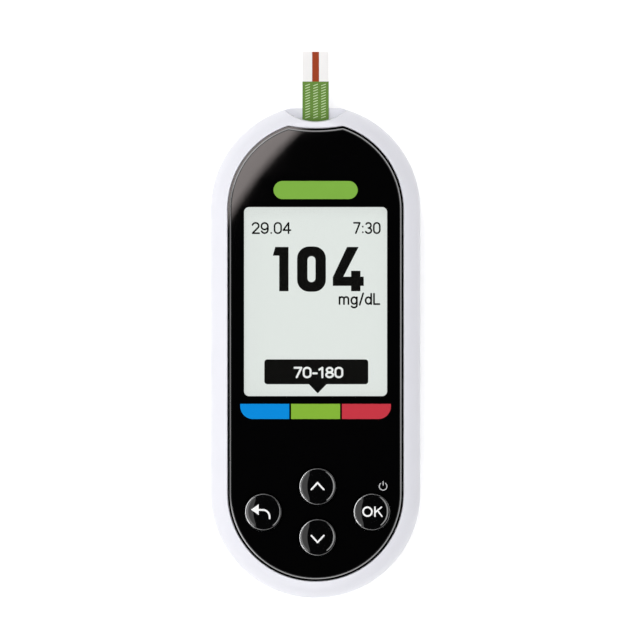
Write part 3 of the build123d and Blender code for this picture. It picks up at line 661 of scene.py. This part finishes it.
PLUS_REACH = 1.3
PLUS_LINE = 0.4
PLUS_UP = 0.2                # share of the cell's width below the sign
for node in ("upper_cell", "lower_cell"):
    low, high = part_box(node)
    plus_x, plus_y = (low.x + high.x) / 2 / MM, ((1 - PLUS_UP) * low.y + PLUS_UP * high.y) / MM
    plus = stroke([(plus_x - PLUS_REACH, plus_y), (plus_x + PLUS_REACH, plus_y)], PLUS_LINE)
    plus += stroke([(plus_x, plus_y - PLUS_REACH), (plus_x, plus_y + PLUS_REACH)], PLUS_LINE)
    printed(f"{node}_plus", plus, level(low.z / MM), "etched", "meter", proud=0.01, sunk=0.012)

# ---------------------------------------------------------------- studio


def link_mesh(name, corners, faces, material):
    """A mesh of the studio, which isn't part of the object."""
    mesh = bpy.data.meshes.new(name)
    mesh.from_pydata(corners, [], faces)
    mesh.materials.append(material)
    made = bpy.data.objects.new(name, mesh)
    SCENE.collection.objects.link(made)
    made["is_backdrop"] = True
    return made


def flat_corners(left, right, foot, head, z):
    """The corners of a flat rectangle at one height."""
    return [(left, foot, z), (right, foot, z), (right, head, z), (left, head, z)]


FLOOR_HALF = 6.0
FLOOR_DROP = -0.02 * MM
link_mesh(
    "floor",
    flat_corners(-FLOOR_HALF, FLOOR_HALF, -FLOOR_HALF, FLOOR_HALF, FLOOR_DROP),
    [(0, 1, 2, 3)],
    finish("floor_pale", colour(244, 244, 244), 0.8, glow=0.32, mottle=0.004, mottle_mm=60.0),
)


def lit(name, strength):
    """An even white glow."""
    material, tree = new_tree(name)
    shown(tree, add_node(tree, "ShaderNodeEmission", {"Strength": strength}).outputs["Emission"])
    return material


def lit_outside(name, tint, centre, radius, reach, strength):
    """Light outside a circle in the card's plane.
    It fades in from radius and grows a little until reach, in metres."""
    material, tree = new_tree(name)
    away = add_node(tree, "ShaderNodeVectorMath", operation="DISTANCE")
    tree.links.new(add_node(tree, "ShaderNodeTexCoord").outputs["Object"], away.inputs[0])
    away.inputs[1].default_value = centre
    share = add_node(tree, "ShaderNodeMapRange", {"From Min": radius, "From Max": reach})
    tree.links.new(away.outputs["Value"], share.inputs["Value"])
    ramp = add_node(tree, "ShaderNodeValToRGB")
    ramp.color_ramp.elements[0].color = (0, 0, 0, 1)
    ramp.color_ramp.elements[1].color = tint
    step = ramp.color_ramp.elements.new(SHEEN_STEP)
    step.color = scaled(tint, SHEEN_STEP_SHARE)
    tree.links.new(share.outputs["Result"], ramp.inputs["Fac"])
    light = add_node(tree, "ShaderNodeEmission", {"Strength": strength})
    tree.links.new(ramp.outputs["Color"], light.inputs["Color"])
    shown(tree, light.outputs["Emission"])
    return material


def hidden_card(made):
    """A soft-box face shows in gloss and lights the object, but isn't seen itself and casts no shadow."""
    made.visible_camera = False
    made.visible_shadow = False
    return made


SKY_RADIUS = 4.0
SKY_STEPS = 32               # faces of a sky card round the object
SKY_RINGS = 8                # and away from the zenith


def sky_card(name, inner, outer, turn_from, turn_to, strength, radius=SKY_RADIUS):
    """A card on a big sphere round the object, between two azimuths, in degrees.
    inner(turn) and outer(turn) are how many degrees off the zenith it starts and ends."""
    corners = []
    for ring in range(SKY_RINGS + 1):
        for i in range(SKY_STEPS + 1):
            turn = math.radians(turn_from + (turn_to - turn_from) * i / SKY_STEPS)
            off = math.radians(inner(turn) + (outer(turn) - inner(turn)) * ring / SKY_RINGS)
            flat = radius * math.sin(off)
            corners.append((flat * math.cos(turn), flat * math.sin(turn), radius * math.cos(off)))
    row = SKY_STEPS + 1
    faces = [
        (r * row + i, r * row + i + 1, (r + 1) * row + i + 1, (r + 1) * row + i)
        for r in range(SKY_RINGS)
        for i in range(SKY_STEPS)
    ]
    return hidden_card(link_mesh(name, corners, faces, lit(name, strength)))


def circle(x, y, radius):
    """How far off the zenith a circle round (x, y) lies at each azimuth, all in degrees off the zenith."""

    def off(turn):
        toward = x * math.cos(turn) + y * math.sin(turn)
        return toward + math.sqrt(toward**2 + radius**2 - x**2 - y**2)

    return off


def lights_only(name, cards, nodes):
    """These cards light these nodes alone, as a flagged card in a studio would."""
    lit_nodes = bpy.data.collections.new(name)
    for node in nodes:
        lit_nodes.objects.link(NODES[node])
    for card in cards:
        card.light_linking.receiver_collection = lit_nodes


# Cards that the keys' domes and rims mirror.
# The keys lie below the camera's axis, so their mirror axis leans this many degrees towards -Y.
KEY_LEAN = -1.15
KEY_EDGE_RING = circle(0, KEY_LEAN, 20.75)
NEARER = 0.02                # metres between two cards that overlap
key_cards = [
    sky_card("left_card", circle(28.5, KEY_LEAN, 42.1), circle(0, 0, 40), 85, 275, 1.28),
    sky_card(
        "left_arc_card", circle(1.5, KEY_LEAN, 21.2), circle(0, 0, 26), 122, 238, 4.0, radius=SKY_RADIUS - NEARER
    ),
    sky_card("left_rim_card", circle(0, 0, 40), circle(0, 0, 100), 130, 230, 4.5),
    sky_card("right_arc_card", circle(-1.0, KEY_LEAN, 20.75), KEY_EDGE_RING, -58, 58, 7.0),
    sky_card("right_rim_card", circle(0, 0, 45), circle(0, 0, 100), -50, 50, 0.15),
]
lights_only("keys_alone", key_cards, ("key_back", "key_up", "key_down", "key_ok"))

# An overhead card that the panel's upper left corner mirrors to the camera, and that lights the panel alone
SHEEN_TINT = (1.0, 0.9, 0.88, 1.0)
SHEEN_STRENGTH = 6.8
SHEEN_STEP, SHEEN_STEP_SHARE = 0.1, 0.72
SHEEN_CENTRE = (0.0724, -0.02)
SHEEN_EDGE = 0.1128
SHEEN_REACH = 0.141
SHEEN_HEIGHT = 1.0 + 0.0148
SHEEN_LEFT, SHEEN_RIGHT, SHEEN_FOOT, SHEEN_HEAD = -0.075, 0.03, 0.0, 0.11
SHEEN_SPOT = (*SHEEN_CENTRE, SHEEN_HEIGHT)
sheen = hidden_card(
    link_mesh(
        "sheen_card",
        flat_corners(SHEEN_LEFT, SHEEN_RIGHT, SHEEN_FOOT, SHEEN_HEAD, SHEEN_HEIGHT),
        [(0, 1, 2, 3)],
        lit_outside("sheen_card", SHEEN_TINT, SHEEN_SPOT, SHEEN_EDGE, SHEEN_REACH, SHEEN_STRENGTH),
    )
)
# Low cards that the panel's bevel mirrors, in turn round the object: from, to and strength
BEVEL_CARDS = ((-132, 120, 0.95), (120, 165, 1.3), (165, 190, 0.45), (190, 228, 1.6))
BEVEL_RADIUS = SKY_RADIUS - 0.05
BEVEL_INNER, BEVEL_OUTER = circle(0, 0, 62), circle(0, 0, 94)
bevel_cards = [
    sky_card(f"bevel_card_{i}", BEVEL_INNER, BEVEL_OUTER, start, end, strength, radius=BEVEL_RADIUS)
    for i, (start, end, strength) in enumerate(BEVEL_CARDS)
]
lights_only("panel_alone", [sheen, *bevel_cards], ["face_panel"])


def lamp(name, place, size, power):
    """A round soft lamp that points at the object and doesn't show in gloss."""
    data = bpy.data.lights.new(name, "AREA")
    data.shape = "DISK"
    data.size = size
    data.energy = power
    made = bpy.data.objects.new(name, data)
    SCENE.collection.objects.link(made)
    made.location = place
    made.rotation_mode = "QUATERNION"
    made.rotation_quaternion = (-Vector(place)).to_track_quat("-Z", "Y")
    made.visible_camera = False
    made.visible_glossy = False
    made.visible_transmission = False


# Each lamp's place and width in metres, and its power in watts
LAMPS = {
    "top_lamp": ((0.0, 0.0, 1.9), 1.6, 14.2),
    "left_lamp": ((-1.7, 0.0, 0.75), 1.2, 10.4),
    "right_lamp": ((1.5, 0.0, 1.1), 1.2, 5.0),
    "low_end_lamp": ((0.0, -1.0, 1.6), 1.0, 4.4),
    "low_end_side_lamp": ((0.0, -1.7, 0.75), 1.0, 10.3),
    "port_end_lamp": ((-0.45, 1.25, 1.5), 1.0, 16.0),
}
for name, (place, size, power) in LAMPS.items():
    lamp(name, place, size, power)

# The sky is white at the skyline and black overhead, so that the gloss mirrors black to the camera
SKY_STOPS = ((0.0, 1.0), (0.25, 0.7), (0.6, 0.16), (0.9, 0.0))
world = bpy.data.worlds.new("studio")
SCENE.world = world
world.use_nodes = True
sky = world.node_tree
sky.nodes.clear()
parts = add_node(sky, "ShaderNodeSeparateXYZ")
sky.links.new(add_node(sky, "ShaderNodeTexCoord").outputs["Generated"], parts.inputs["Vector"])
ramp = add_node(sky, "ShaderNodeValToRGB")
for place, grey in SKY_STOPS:
    stop = ramp.color_ramp.elements[0] if place == 0.0 else ramp.color_ramp.elements.new(place)
    stop.position = place
    stop.color = (grey, grey, grey, 1)
ramp.color_ramp.elements[-1].color = (0.0, 0.0, 0.0, 1)
sky.links.new(parts.outputs["Z"], ramp.inputs["Fac"])
background = add_node(sky, "ShaderNodeBackground")
sky.links.new(ramp.outputs["Color"], background.inputs["Color"])
sky.links.new(background.outputs["Background"], add_node(sky, "ShaderNodeOutputWorld").inputs["Surface"])

# ---------------------------------------------------------------- camera

# The camera looks straight down from far away, at the middle of the photo
VIEW_WIDTH_MM = 128.76
VIEW_CENTRE_MM = (-0.12, 7.46)
CAMERA_AWAY = 2.0
lens_data = bpy.data.cameras.new("camera")
lens_data.sensor_width = 36.0
lens_data.lens = lens_data.sensor_width * CAMERA_AWAY / (VIEW_WIDTH_MM * MM)
lens_data.clip_start = 0.05
lens_data.clip_end = 20.0
camera = bpy.data.objects.new("camera", lens_data)
SCENE.collection.objects.link(camera)
camera.location = (VIEW_CENTRE_MM[0] * MM, VIEW_CENTRE_MM[1] * MM, CAMERA_AWAY + PANEL_TOP * MM)
SCENE.camera = camera
SCENE.view_settings.view_transform = "Standard"

low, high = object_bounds()
